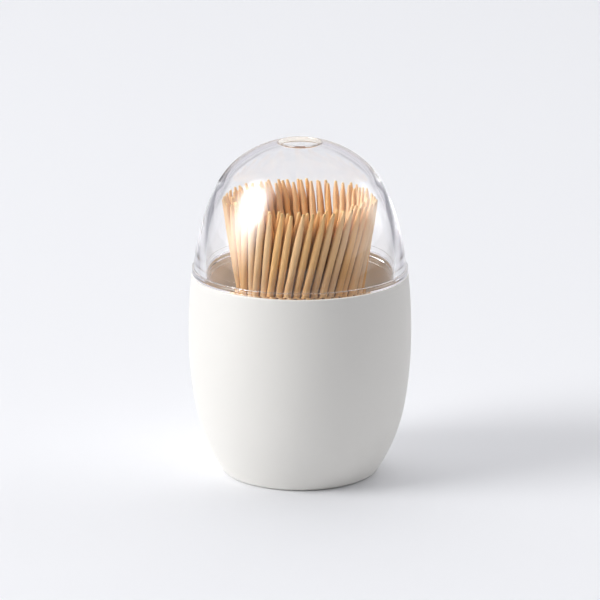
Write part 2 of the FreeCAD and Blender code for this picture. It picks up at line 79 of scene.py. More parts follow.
def linear(colour: str) -> tuple[float, float, float, float]:
    """Turn an sRGB hex colour into a linear one.

    Args:
        colour: Six hex digits after a hash sign.

    Returns:
        Linear red, green and blue, and an alpha of one.
    """
    parts = [int(colour[place:place + 2], 16) / HIGHEST_BYTE for place in (1, 3, 5)]
    low = [part / TOE_SLOPE for part in parts]
    high = [((part + OFFSET) / (1 + OFFSET)) ** POWER for part in parts]
    red, green, blue = (a if part <= TOE else b for part, a, b in zip(parts, low, high))
    return red, green, blue, 1.0


def add_node(tree: bpy.types.NodeTree, kind: str, inputs: dict | None = None,
             **settings: object) -> bpy.types.Node:
    """Add a node with its settings, values and links.

    Args:
        tree: Node tree that gets the node.
        kind: Type name of the node.
        inputs: Value, or output socket to link, for each input's name or number.
        settings: Properties of the node.

    Returns:
        The new node.
    """
    node = tree.nodes.new(kind)
    for name, value in settings.items():
        setattr(node, name, value)
    for name, value in (inputs or {}).items():
        if isinstance(value, bpy.types.NodeSocket):
            tree.links.new(value, node.inputs[name])
        else:
            node.inputs[name].default_value = value
    return node


def new_material(name: str) -> tuple[bpy.types.Material, bpy.types.NodeTree]:
    """Make a material with an empty node tree.

    Args:
        name: Name of the material.

    Returns:
        The material and its node tree.
    """
    material = bpy.data.materials.new(name)
    material.use_nodes = True
    material.node_tree.nodes.clear()
    return material, material.node_tree


@dataclass(frozen=True)
class MouldedPlastic:
    """Injection moulded plastic from a finely eroded mould: even colour, soft sheen, faint grain.

    The eroded steel leaves pits of a few hundredths of a millimetre, which spread the highlight, and
    the melt's flow leaves very slow changes of tone. The pits are drawn wider than they are, so that
    they show.
    """

    name: str
    colour: str
    shade: str
    roughness: float
    grain_mm: float = 0.22
    grain_depth_mm: float = 0.0035
    grain_strength: float = 0.6
    flow_mm: float = 26.0
    noise_detail: float = 2.0
    gloss_spread: float = 0.04
    ior: float = 1.5

    def material(self) -> bpy.types.Material:
        """Build the material.

        Returns:
            Plastic whose tone follows the flow, and whose gloss and bump follow the pits.
        """
        material, tree = new_material(self.name)
        place = add_node(tree, "ShaderNodeTexCoord").outputs["Object"]
        flow = add_node(tree, "ShaderNodeTexNoise", {
            "Vector": place, "Scale": 1 / (self.flow_mm * MM), "Detail": self.noise_detail})
        colour = add_node(tree, "ShaderNodeMix", {
            "Factor": flow.outputs["Fac"], COLOUR_A: linear(self.colour), COLOUR_B: linear(self.shade)},
            data_type="RGBA")
        pits = add_node(tree, "ShaderNodeTexNoise", {
            "Vector": place, "Scale": 1 / (self.grain_mm * MM), "Detail": self.noise_detail})
        gloss = add_node(tree, "ShaderNodeMapRange", {
            "Value": pits.outputs["Fac"], "To Min": self.roughness - self.gloss_spread,
            "To Max": self.roughness + self.gloss_spread})
        bump = add_node(tree, "ShaderNodeBump", {
            "Height": pits.outputs["Fac"], "Strength": self.grain_strength,
            "Distance": self.grain_depth_mm * MM})
        shader = add_node(tree, "ShaderNodeBsdfPrincipled", {
            "Base Color": colour.outputs[MIXED], "Roughness": gloss.outputs[0], "IOR": self.ior,
            "Normal": bump.outputs[0]})
        add_node(tree, "ShaderNodeOutputMaterial", {"Surface": shader.outputs[0]})
        return material


@dataclass(frozen=True)
class ClearPolystyrene:
    """Clear polystyrene from a polished mould: it bends light as a thick wall and mirrors the room.

    Light on its way to a matt surface goes straight through, so that the toothpicks stay lit.
    """

    name: str
    colour: str
    through: str
    roughness: float
    ior: float

    def material(self) -> bpy.types.Material:
        """Build the material.

        Returns:
            Clear plastic that bends what is seen through it and lets the lamps' light pass.
        """
        material, tree = new_material(self.name)
        shader = add_node(tree, "ShaderNodeBsdfPrincipled", {
            "Base Color": linear(self.colour), "Roughness": self.roughness, "IOR": self.ior,
            "Transmission Weight": 1.0})
        clear = add_node(tree, "ShaderNodeBsdfTransparent", {"Color": linear(self.through)})
        rays = add_node(tree, "ShaderNodeLightPath")
        inner = add_node(tree, "ShaderNodeMixShader", {
            0: rays.outputs["Is Diffuse Ray"], 1: shader.outputs[0], 2: clear.outputs[0]})
        outer = add_node(tree, "ShaderNodeMixShader", {
            0: rays.outputs["Is Shadow Ray"], 1: inner.outputs[0], 2: clear.outputs[0]})
        add_node(tree, "ShaderNodeOutputMaterial", {"Surface": outer.outputs[0]})
        return material


@dataclass(frozen=True)
class SplitBamboo:
    """Bamboo split and turned to round sticks: long pale fibres with darker bundles between them.

    The cut leaves it matt, with fibre ridges along the stick and paler, crushed ends. Light turns brown
    between close sticks, and this is painted: the colour turns to a dark brown painted shade by how
    little room is open round it.
    """

    name: str
    pale: str
    deep: str
    bundle: str
    tip: str
    # Colour of the painted shade between close sticks.
    painted_crevice_shade: str
    roughness: float
    painted_shade_reach_mm: float = 1.6
    fibre_share: float = 0.35
    fibre_mm: float = 0.16
    fibre_length_mm: float = 9.0
    bundle_mm: float = 0.3
    bundle_length_mm: float = 5.0
    ridge_mm: float = 0.02
    ridge_strength: float = 0.7
    noise_detail: float = 3.0
    noise_roughness: float = 0.6
    fibre_range: tuple[float, float] = (0.3, 0.7)
    bundle_range: tuple[float, float] = (0.62, 0.8)
    bundle_share: float = 0.55
    open_range: tuple[float, float] = (0.08, 0.62)
    open_samples: int = 4
    ior: float = 1.45

    def streaks(self, tree: bpy.types.NodeTree, place: bpy.types.NodeSocket, width_mm: float,
                length_mm: float) -> bpy.types.NodeSocket:
        """Add noise that is drawn out along the stick.

        Args:
            tree: Node tree that gets the nodes.
            place: Position on the stick in metres, with its length along Z.
            width_mm: Width of one streak.
            length_mm: Length of one streak.

        Returns:
            The noise's output, from zero to one.
        """
        across, along = 1 / (width_mm * MM), 1 / (length_mm * MM)
        drawn = add_node(tree, "ShaderNodeMapping", {
            "Vector": place, "Scale": (across, across, along)})
        noise = add_node(tree, "ShaderNodeTexNoise", {
            "Vector": drawn.outputs[0], "Scale": 1.0, "Detail": self.noise_detail,
            "Roughness": self.noise_roughness})
        return noise.outputs["Fac"]

    def material(self) -> bpy.types.Material:
        """Build the material.

        Returns:
            Bamboo that reads the place in the grain, the tone and the paleness from its mesh, with a
            painted brown shade between close sticks.
        """
        material, tree = new_material(self.name)
        place = add_node(tree, "ShaderNodeAttribute", attribute_name="grain").outputs["Vector"]
        tone = add_node(tree, "ShaderNodeAttribute", attribute_name="tone").outputs["Fac"]
        tip = add_node(tree, "ShaderNodeAttribute", attribute_name="tip").outputs["Fac"]
        fibres = self.streaks(tree, place, self.fibre_mm, self.fibre_length_mm)
        bundles = self.streaks(tree, place, self.bundle_mm, self.bundle_length_mm)
        blend = add_node(tree, "ShaderNodeMapRange", {
            "Value": fibres, "From Min": self.fibre_range[0], "From Max": self.fibre_range[1]})
        mixed = add_node(tree, "ShaderNodeMath", {
            0: blend.outputs[0], 1: self.fibre_share, 2: tone}, operation="MULTIPLY_ADD",
            use_clamp=True)
        base = add_node(tree, "ShaderNodeMix", {
            "Factor": mixed.outputs[0], COLOUR_A: linear(self.pale), COLOUR_B: linear(self.deep)},
            data_type="RGBA")
        dark = add_node(tree, "ShaderNodeMapRange", {
            "Value": bundles, "From Min": self.bundle_range[0], "From Max": self.bundle_range[1],
            "To Max": self.bundle_share})
        wood = add_node(tree, "ShaderNodeMix", {
            "Factor": dark.outputs[0], COLOUR_A: base.outputs[MIXED], COLOUR_B: linear(self.bundle)},
            data_type="RGBA")
        ends = add_node(tree, "ShaderNodeMix", {
            "Factor": tip, COLOUR_A: wood.outputs[MIXED], COLOUR_B: linear(self.tip)}, data_type="RGBA")
        # Painted shade: the colour turns dark brown where little room is open round the stick, in place
        # of light lost between the sticks.
        room = add_node(tree, "ShaderNodeAmbientOcclusion", {
            "Distance": self.painted_shade_reach_mm * MM}, samples=self.open_samples)
        open_share = add_node(tree, "ShaderNodeMapRange", {
            "Value": room.outputs["AO"], "From Min": self.open_range[0],
            "From Max": self.open_range[1]})
        with_painted_shade = add_node(tree, "ShaderNodeMix", {
            "Factor": open_share.outputs[0], COLOUR_A: linear(self.painted_crevice_shade),
            COLOUR_B: ends.outputs[MIXED]}, data_type="RGBA")
        bump = add_node(tree, "ShaderNodeBump", {
            "Height": fibres, "Strength": self.ridge_strength, "Distance": self.ridge_mm * MM})
        shader = add_node(tree, "ShaderNodeBsdfPrincipled", {
            "Base Color": with_painted_shade.outputs[MIXED], "Roughness": self.roughness, "IOR": self.ior,
            "Normal": bump.outputs[0]})
        add_node(tree, "ShaderNodeOutputMaterial", {"Surface": shader.outputs[0]})
        return material


def line(start: Sequence[float], end: Sequence[float]) -> np.ndarray:
    """Return a straight edge as two (radius, height) points."""
    return np.array([start, end], float)


def arc(centre: Sequence[float], start: Sequence[float], end: Sequence[float],
        clockwise: bool = False, count: int = 513) -> np.ndarray:
    """Return an arc as points: the centre plus a turning arm whose length is held.

    Args:
        centre: Centre of the arc.
        start: First point.
        end: Last point.
        clockwise: Whether the angle falls from the first point to the last.
        count: Number of points.

    Returns:
        Points along the arc.
    """
    middle = np.asarray(centre, float)
    first, last = np.asarray(start, float) - middle, np.asarray(end, float) - middle
    begin, finish = math.atan2(first[1], first[0]), math.atan2(last[1], last[0])
    if clockwise and finish > begin:
        finish -= FULL_TURN
    if not clockwise and finish < begin:
        finish += FULL_TURN
    angles = np.linspace(begin, finish, count)
    arm = np.stack([np.cos(angles), np.sin(angles)], axis=1)
    return middle + arm * np.hypot(*first)


def upright_centre(upright: Sequence[float], other: Sequence[float]) -> tuple[float, float]:
    """Work out the centre of the arc that is upright at one point and passes through another.

    The centre is level with the upright point, one radius inwards. The radius is the chord's square
    over twice the chord's level part.

    Args:
        upright: Point where the arc runs straight up.
        other: Second point of the arc.

    Returns:
        Radius and height of the centre.
    """
    across, up = upright[0] - other[0], upright[1] - other[1]
    radius = (across * across + up * up) / (2 * across)
    return upright[0] - radius, upright[1]


def resample(edge: np.ndarray, cut_start: float, cut_end: float, step: float,
             hold: float) -> np.ndarray:
    """Space an edge's points evenly, less a length at each end, with one more point near each end.

    The points lie at shares of the edge's own length. The two close points keep the shading of a flat
    face from running into the rounding beside it.

    Args:
        edge: Points along the edge.
        cut_start: Length left out at the start.
        cut_end: Length left out at the end.
        step: Longest distance between points.
        hold: Distance of the close points from the ends.

    Returns:
        The new points.
    """
    lengths = np.hypot(*np.diff(edge, axis=0).T)
    along = np.concatenate([[0.0], np.cumsum(lengths)])
    first, last = cut_start, along[-1] - cut_end
    count = max(2, math.ceil((last - first) / step) + 1)
    places = np.linspace(first, last, count)
    close_first, close_last = first + hold, last - hold
    if close_last - close_first > 2 * hold:
        places = np.sort(np.concatenate([places, [close_first, close_last]]))
    return np.stack([np.interp(places, along, edge[:, axis]) for axis in (0, 1)], axis=1)


def rounding(start: np.ndarray, corner: np.ndarray, end: np.ndarray, count: int) -> np.ndarray:
    """Return the arc that touches two edges at a corner, as a weighted curve of three points.

    The corner's weight is the cosine of half the turn, which makes the curve a true arc.

    Args:
        start: Where the rounding leaves the first edge.
        corner: Corner that it replaces.
        end: Where it meets the next edge.
        count: Number of points, without the two ends.

    Returns:
        Points between the two ends.
    """
    before, after = corner - start, end - corner
    turn = math.acos(np.clip(before @ after / (np.hypot(*before) * np.hypot(*after)), -1, 1))
    weight = math.cos(turn / 2)
    share = np.linspace(0, 1, count + 2)[1:-1, None]
    parts = ((1 - share) ** 2, 2 * weight * share * (1 - share), share ** 2)
    return (parts[0] * start + parts[1] * corner + parts[2] * end) / sum(parts)


@dataclass
class Outline:
    """A path of (radius, height) points put together from edges, with rounded corners between them.

    Points are at most `step` apart, with one more `hold` away from each end of an edge.
    """

    closed: bool
    step: float = 0.6
    hold: float = 0.03
    round_points: int = 5
    edges: list[np.ndarray] = field(default_factory=list)
    reaches: list[float] = field(default_factory=list)

    def add(self, edge: np.ndarray, reach: float = 0.0) -> None:
        """Add an edge.

        Args:
            edge: Points along the edge.
            reach: How far the rounding of the corner at its end reaches along both edges.
        """
        self.edges.append(edge)
        self.reaches.append(reach)

    def line_to(self, *point: float, reach: float = 0.0) -> None:
        """Add a straight edge from the last point."""
        self.add(line(self.edges[-1][-1], point), reach)

    def path(self) -> np.ndarray:
        """Join the edges and their roundings.

        Returns:
            All points of the path, in order and without doubles.
        """
        parts = []
        count = len(self.edges)
        for number, edge in enumerate(self.edges):
            before = self.reaches[number - 1] if number or self.closed else 0.0
            after = self.reaches[number]
            points = resample(edge, before, after, self.step, self.hold)
            if parts and before == 0.0:
                points = points[1:]
            parts.append(points)
            if after > 0.0:
                following = self.edges[(number + 1) % count]
                landing = resample(following, after, 0.0, self.step, self.hold)[0]
                parts.append(rounding(points[-1], edge[-1], landing, self.round_points))
        if self.closed and self.reaches[-1] == 0.0:
            parts[-1] = parts[-1][:-1]
        return np.concatenate(parts)


def write_mesh(name: str, vertices: np.ndarray, faces: Iterable[Sequence[int]],
               finish: bpy.types.Material) -> bpy.types.Object:
    """Write a smooth mesh in metres, at the origin.

    Args:
        name: Name of the object.
        vertices: Points in millimetres.
        faces: Vertex numbers of each face.
        finish: Material of the piece.

    Returns:
        The new object.
    """
    mesh = bpy.data.meshes.new(name)
    mesh.from_pydata((vertices * MM).tolist(), [], list(faces))
    mesh.shade_smooth()
    mesh.materials.append(finish)
    mesh.validate()
    piece = bpy.data.objects.new(name, mesh)
    bpy.context.scene.collection.objects.link(piece)
    return piece


def grid_faces(rows: int, columns: int, first: int = 0, closed_rows: bool = False) -> np.ndarray:
    """Return the four-sided faces of a grid whose columns close into a ring.

    Args:
        rows: Number of rings.
        columns: Number of points in each ring.
        first: Number of the first point.
        closed_rows: Whether the last ring joins the first.

    Returns:
        Four vertex numbers for each face.
    """
    spans = rows if closed_rows else rows - 1
    row, column = np.meshgrid(np.arange(spans), np.arange(columns), indexing="ij")
    over, beside = (row + 1) % rows, (column + 1) % columns
    corners = [row * columns + column, row * columns + beside, over * columns + beside,
               over * columns + column]
    return np.stack(corners, axis=-1).reshape(-1, 4) + first


def turned(name: str, path: np.ndarray, finish: bpy.types.Material, closed: bool,
           segments: int = 256) -> bpy.types.Object:
    """Turn a path about the upright axis: x = r cos a, y = r sin a, z = h.

    A path that starts and ends on the axis gets one point there instead of a ring.

    Args:
        name: Name of the object.
        path: (radius, height) points in millimetres, with the outside on the right of the path.
        finish: Material of the piece.
        closed: Whether the path is a loop away from the axis.
        segments: Number of points round the axis.

    Returns:
        The new object.
    """
    rings = path if closed else path[1:-1]
    angles = np.arange(segments) * FULL_TURN / segments
    radius, height = rings[:, :1], rings[:, 1:]
    points = np.stack([radius * np.cos(angles), radius * np.sin(angles),
                       np.broadcast_to(height, (len(rings), segments))], axis=-1).reshape(-1, 3)
    faces = grid_faces(len(rings), segments, closed_rows=closed).tolist()
    if not closed:
        poles = np.array([[0.0, 0.0, path[0, 1]], [0.0, 0.0, path[-1, 1]]])
        start, end = len(points), len(points) + 1
        here = np.arange(segments)
        beside = (here + 1) % segments
        last = (len(rings) - 1) * segments
        faces += np.stack([beside, here, np.full(segments, start)], axis=1).tolist()
        faces += np.stack([last + here, last + beside, np.full(segments, end)], axis=1).tolist()
        points = np.concatenate([points, poles])
    return write_mesh(name, points, faces, finish)


@dataclass
class BodyShell:
    """White cup: a foot arc, a flank arc and an upper arc outside, two arcs inside, a standing ring."""

    finish: MouldedPlastic
    base_radius: float = 18.0
    heel_height: float = 16.2
    belly_radius: float = 26.0
    belly_height: float = 33.0
    flank_curve: float = 99.0
    rim_radius: float = 25.2
    rim_height: float = 47.7
    rim_wall: float = 2.0
    belly_wall: float = 2.3
    floor_radius: float = 16.5
    floor_height: float = 1.7
    ring_width: float = 2.4
    recess: float = 0.5
    base_reach: float = 0.99
    rim_round: float = 0.3
    socket_inside: float = 15.2
    socket_wall: float = 1.0
    socket_height: float = 2.4

    def outline(self) -> np.ndarray:
        """Work out the cup's path.

        The flank is an arc about a centre level with the belly. The foot's arc touches it at the
        heel and ends at the base.

        Returns:
            The path from the underside's middle round the outside to the floor's middle.
        """
        flank_centre = np.array([self.belly_radius - self.flank_curve, self.belly_height])
        fall = math.asin((self.belly_height - self.heel_height) / self.flank_curve)
        outward = np.array([math.cos(fall), -math.sin(fall)])
        heel = flank_centre + outward * self.flank_curve
        base = np.array([self.base_radius, 0.0])
        chord = base - heel
        foot_centre = heel + outward * (chord @ chord) / (2 * chord @ outward)
        belly, rim = (self.belly_radius, self.belly_height), (self.rim_radius, self.rim_height)
        wide = (self.belly_radius - self.belly_wall, self.belly_height)
        mouth = (self.rim_radius - self.rim_wall, self.rim_height)
        corner = (self.floor_radius, self.floor_height)
        hollow = self.base_radius - self.ring_width
        socket_outside = self.socket_inside + self.socket_wall
        socket_top = self.floor_height + self.socket_height
        soft = self.rim_round
        outline = Outline(closed=False)
        outline.add(line((0.0, self.recess), (hollow - self.recess, self.recess)))
        outline.line_to(hollow, 0.0)
        outline.line_to(*base, reach=self.base_reach)
        outline.add(arc(foot_centre, base, heel))
        outline.add(arc(flank_centre, heel, belly))
        outline.add(arc(upright_centre(belly, rim), belly, rim), reach=self.rim_round)
        outline.line_to(*mouth, reach=self.rim_round)
        outline.add(arc(upright_centre(wide, mouth), mouth, wide, clockwise=True))
        outline.add(arc(upright_centre(wide, corner), wide, corner, clockwise=True), reach=soft)
        outline.line_to(socket_outside, self.floor_height, reach=soft)
        outline.line_to(socket_outside, socket_top, reach=soft)
        outline.line_to(self.socket_inside, socket_top, reach=soft)
        outline.line_to(self.socket_inside, self.floor_height)
        outline.line_to(0.0, self.floor_height)
        return outline.path()

    def build(self) -> None:
        """Make the shell in place of its node."""
        piece = turned("cup_shell", self.outline(), self.finish.material(), closed=False)
        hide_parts("body_shell")
        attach(piece, Body.CUP.value)
        log.info("made %s with %d faces", piece.name, len(piece.data.polygons))


@dataclass
class PickCup:
    """Inner cup: a tapered wall, and a floor with a cone that keeps the middle open."""

    finish: MouldedPlastic
    bottom: float = 1.7
    floor: float = 0.8
    wall: float = 1.1
    floor_radius: float = 14.0
    lip_radius: float = 14.76
    lip_height: float = 36.0
    foot_height: float = 2.4
    cone_radius: float = 6.1
    cone_tip: float = 1.5
    cone_height: float = 12.0
    soft: float = 0.35

    def outline(self) -> np.ndarray:
        """Work out the inner cup's path.

        Returns:
            The path from the underside's middle round the wall to the cone's middle.
        """
        foot, floor = self.floor_radius + self.wall, self.bottom + self.floor
        top = floor + self.cone_height
        outline = Outline(closed=False)
        outline.add(line((0.0, self.bottom), (foot, self.bottom)), reach=self.soft / 2)
        outline.line_to(foot, self.bottom + self.foot_height)
        outline.line_to(self.lip_radius + self.wall, self.lip_height, reach=self.soft)
        outline.line_to(self.lip_radius, self.lip_height, reach=self.soft)
        outline.line_to(self.floor_radius, floor, reach=self.soft)
        outline.line_to(self.cone_radius, floor, reach=self.soft)
        outline.line_to(self.cone_tip, top, reach=self.soft)
        outline.line_to(0.0, top)
        return outline.path()

    def build(self) -> None:
        """Make the inner cup in place of its node."""
        piece = turned("inner_cup", self.outline(), self.finish.material(), closed=False,
                       segments=160)
        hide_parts("pick_cup")
        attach(piece, Body.CUP.value)
        log.info("made %s with %d faces", piece.name, len(piece.data.polygons))


@dataclass
class DomeLid:
    """Clear lid: three arcs outside and inside, a holed crown, a flange and a spigot with a bead."""

    finish: ClearPolystyrene
    seat: float = 47.8
    flange_height: float = 1.4
    flange_radius: float = 25.1
    flange_step: float = 0.35
    flange_round: float = 0.06
    top: float = 78.9
    hole_radius: float = 4.85
    hole_round: float = 0.25
    crown_wall: float = 1.3
    crown_curve: float = 23.45
    crown_spread: float = 13.6
    shoulder_curve: float = 18.8
    side_drop: float = 4.9
    inner_crown_curve: float = 21.3
    inner_crown_spread: float = 13.35
    inner_shoulder_curve: float = 15.2
    spigot_radius: float = 23.0
    spigot_wall: float = 0.7
    spigot_depth: float = 2.6
    bead_depth: float = 0.9
    bead_width: float = 0.7
    bead_rise: float = 0.12
    bead_slope: float = 0.3

    def dome_arcs(self, top: float, crown: float, spread: float, shoulder: float,
                  foot: tuple[float, float], drop: float) -> list[np.ndarray]:
        """Work out three touching arcs from the hole's edge down to the dome's foot.

        The crown's centre is on the axis, the shoulder touches the crown where the crown is `spread`
        wide, and the side touches the shoulder and passes through the foot, with its centre `drop`
        below the foot. The side and the shoulder touch where their centres are as far apart as their
        radii differ, which gives a quadratic for how far inside the foot the side's centre lies.

        Args:
            top: Height of the hole's edge.
            crown: Radius of the crown's arc.
            spread: Radius at which the crown ends.
            shoulder: Radius of the shoulder's arc.
            foot: Where the side ends.
            drop: How far the side's centre lies below the foot.

        Returns:
            The three arcs, from the top down.
        """
        crown_centre = np.array([0.0, top - math.sqrt(crown ** 2 - self.hole_radius ** 2)])
        lean = math.asin(spread / crown)
        outward = np.array([math.sin(lean), math.cos(lean)])
        upper = crown_centre + outward * crown
        shoulder_centre = upper - outward * shoulder
        across = foot[0] - shoulder_centre[0]
        up = shoulder_centre[1] - foot[1] + drop
        rest = drop ** 2 + shoulder ** 2 - across ** 2 - up ** 2
        square = 4 * (across ** 2 - shoulder ** 2)
        slope = 4 * across * rest
        constant = rest ** 2 - 4 * shoulder ** 2 * drop ** 2
        root = math.sqrt(slope ** 2 - 4 * square * constant)
        reach = (root - slope) / (2 * square)
        side_centre = np.array([foot[0] - reach, foot[1] - drop])
        towards = shoulder_centre - side_centre
        lower = shoulder_centre + towards / np.hypot(*towards) * shoulder
        edge = (self.hole_radius, top)
        return [arc(crown_centre, edge, upper, clockwise=True),
                arc(shoulder_centre, upper, lower, clockwise=True),
                arc(side_centre, lower, foot, clockwise=True)]

    def outline(self) -> np.ndarray:
        """Work out the lid's path.

        Returns:
            The loop from the hole's edge down the inside and up the outside.
        """
        flange_top = self.seat + self.flange_height
        foot = (self.flange_radius - self.flange_step, flange_top)
        bore = self.spigot_radius - self.spigot_wall
        end = self.seat - self.spigot_depth
        bead_top = self.seat - self.bead_depth
        bead_low = bead_top - 2 * self.bead_slope - self.bead_width
        bead = self.spigot_radius + self.bead_rise
        soft, fine = self.flange_round, self.flange_round / 2
        inner = self.dome_arcs(self.top - self.crown_wall, self.inner_crown_curve,
                               self.inner_crown_spread, self.inner_shoulder_curve,
                               (bore, flange_top), 0.0)
        outer = self.dome_arcs(self.top, self.crown_curve, self.crown_spread,
                               self.shoulder_curve, foot, self.side_drop)
        outline = Outline(closed=True)
        for edge in inner:
            outline.add(edge)
        outline.line_to(bore, end, reach=soft)
        outline.line_to(self.spigot_radius, end, reach=soft)
        outline.line_to(self.spigot_radius, bead_low)
        outline.line_to(bead, bead_low + self.bead_slope)
        outline.line_to(bead, bead_top - self.bead_slope)
        outline.line_to(self.spigot_radius, bead_top)
        outline.line_to(self.spigot_radius, self.seat, reach=fine)
        outline.line_to(self.flange_radius, self.seat, reach=soft)
        outline.line_to(self.flange_radius, flange_top, reach=soft)
        outline.line_to(*foot, reach=fine)
        crown, *lower = outer
        for edge in reversed(lower):
            outline.add(edge[::-1])
        outline.add(crown[::-1], reach=self.hole_round)
        outline.line_to(self.hole_radius, self.top - self.crown_wall, reach=self.hole_round)
        return outline.path()

    def build(self) -> None:
        """Make the lid in place of its node."""
        piece = turned("clear_dome", self.outline(), self.finish.material(), closed=True)
        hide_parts("dome_lid")
        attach(piece, Body.LID.value)
        log.info("made %s with %d faces", piece.name, len(piece.data.polygons))


@dataclass
class Toothpicks:
    """The sheaf: every toothpick of the frame again, with the small flaws of split bamboo."""

    finish: SplitBamboo
    prefix: str = "toothpick"
    weld_digits: int = 4
    sides: int = 20
    shaft_rings: int = 16
    taper_rings: int = 13
    cap_rings: int = 3
    diameter: float = 1.8
    tip_diameter: float = 0.62
    taper: float = 9.0
    tip_round: float = 0.16
    tip_closing: float = 0.999
    pale_end: float = 0.9
    oval_share: float = 0.02
    wave_share: float = 0.018
    wave_length: float = 17.0
    ripple_lobes: int = 3
    bow: float = 0.03
    shorter: float = 0.5
    grain_spread: float = 400.0
    tone_spread: float = 0.75
    seed: int = 11

    def axes(self, node: bpy.types.Object) -> list[tuple[np.ndarray, np.ndarray]]:
        """Find the two ends of each toothpick in a node.

        The triangles are loose, so points at one place are taken as one, and each piece is found by
        passing the lowest label along the triangles until nothing changes. A piece's ends are the
        mean places of its outermost points along its longest direction.

        Args:
            node: Object of the frame.

        Returns:
            Lower and upper end of each toothpick, in millimetres.
        """
        mesh = node.data
        points = np.empty(len(mesh.vertices) * 3, np.float32)
        mesh.vertices.foreach_get("co", points)
        corners = np.empty(len(mesh.loops), np.int32)
        mesh.loops.foreach_get("vertex_index", corners)
        points = points.reshape(-1, 3).astype(float) / MM
        places, same = np.unique(np.round(points, self.weld_digits), axis=0, return_inverse=True)
        triangles = same.reshape(-1)[corners].reshape(-1, 3)
        labels = np.arange(len(places))
        while True:
            lowest = labels.copy()
            np.minimum.at(lowest, triangles, labels[triangles].min(axis=1)[:, None])
            if np.array_equal(lowest, labels):
                break
            labels = lowest
        ends = []
        for label in np.unique(labels):
            cloud = places[labels == label]
            middle = (cloud.max(axis=0) + cloud.min(axis=0)) / 2
            direction = np.linalg.svd(cloud - cloud.mean(axis=0))[2][0]
            direction *= np.sign(direction[2])
            along = (cloud - middle) @ direction
            foot = cloud[along < along.min() + self.tip_round].mean(axis=0)
            head = cloud[along > along.max() - self.tip_round].mean(axis=0)
            ends.append((foot, head))
        return ends

    def ring_places(self, length: float) -> np.ndarray:
        """Place the rings along a toothpick: in its rounded tips, in its points and on its shaft.

        Args:
            length: Length of the toothpick.

        Returns:
            Distance of each ring from the lower end.
        """
        turn = np.linspace(0, math.pi / 2, self.cap_rings + 1)[:-1]
        cap = self.tip_round * (1 - np.cos(turn))
        point = np.linspace(self.tip_round, self.taper, self.taper_rings)
        shaft = np.linspace(self.taper, length / 2, self.shaft_rings // 2)[1:]
        half = np.concatenate([cap, point, shaft])
        return np.concatenate([half, (length - half)[::-1][1:]])

    def ring_radii(self, depth: np.ndarray) -> np.ndarray:
        """Work out the radius of each ring.

        It is the shaft's, less the square of the way into the pointed end, and a quarter turn closes
        each tip but for a very small ring.

        Args:
            depth: Distance of each ring from the nearer end.

        Returns:
            Radius of each ring.
        """
        shaft_radius, tip_radius = self.diameter / 2, self.tip_diameter / 2
        inside = np.clip((self.taper - depth) / self.taper, 0, 1)
        radius = shaft_radius - (shaft_radius - tip_radius) * inside ** 2
        end = np.clip(1 - depth / self.tip_round, 0, 1)
        return radius * np.sqrt(1 - end ** 2 * self.tip_closing)

    def swell(self, along: np.ndarray, angles: np.ndarray, phases: Sequence[float]) -> np.ndarray:
        """Work out the share of the radius that each point keeps.

        A slow sine runs along the stick, a cosine of two lobes makes it oval, and a ripple of a few
        lobes turns slowly along it. Together they make it thicker by at most half the wave's share.

        Args:
            along: Distance of each ring from the lower end.
            angles: Angle of each point round the stick.
            phases: Where the wave, the oval and the ripple begin.

        Returns:
            Share for each ring and angle.
        """
        rings, turns = along[:, None], angles[None, :]
        wave = np.sin(FULL_TURN * rings / self.wave_length + phases[0])
        oval = np.cos(2 * turns + phases[1])
        ripple = np.cos(self.ripple_lobes * turns + FULL_TURN * rings / (2 * self.wave_length)
                        + phases[2])
        return (1 - self.wave_share + self.wave_share * wave - self.oval_share * (1 - oval) / 2
                + self.wave_share * ripple / 2)

    def stick(self, foot: np.ndarray, head: np.ndarray,
              chance: np.random.Generator) -> dict[str, np.ndarray]:
        """Carry a circle along a toothpick's axis, which bows by a sine to one side.

        Args:
            foot: Lower end in millimetres.
            head: Upper end in millimetres.
            chance: Source of the flaws.

        Returns:
            Points, the place in the grain, the tone and the paleness of the ends.
        """
        whole = float(np.linalg.norm(head - foot))
        length = whole - self.shorter * chance.random()
        upward = (head - foot) / whole
        side = np.cross(upward, [0.0, 0.0, 1.0])
        side /= np.linalg.norm(side)
        front = np.cross(upward, side)
        along = self.ring_places(length)
        depth = np.minimum(along, length - along)
        angles = np.arange(self.sides) * FULL_TURN / self.sides
        # The last of the five phases has no use, and is drawn so that the flaws keep their order.
        *phases, lean, _ = chance.random(5) * FULL_TURN
        around = self.ring_radii(depth)[:, None] * self.swell(along, angles, phases)
        across, deep = around * np.cos(angles), around * np.sin(angles)
        bend = self.bow * np.sin(math.pi * along / length)
        sideways = side * math.cos(lean) + front * math.sin(lean)
        axis = foot + along[:, None] * upward + bend[:, None] * sideways
        points = axis[:, None, :] + across[..., None] * side + deep[..., None] * front
        shift = chance.random(3) * self.grain_spread
        grain = np.stack([across, deep, np.broadcast_to(along[:, None], across.shape)], axis=-1)
        pale = np.clip(1 - depth / self.pale_end, 0, 1)
        return {
            "points": points.reshape(-1, 3),
            "grain": (grain + shift).reshape(-1, 3) * MM,
            "tone": np.full(across.size, self.tone_spread * chance.random()),
            "tip": np.repeat(pale, self.sides),
        }

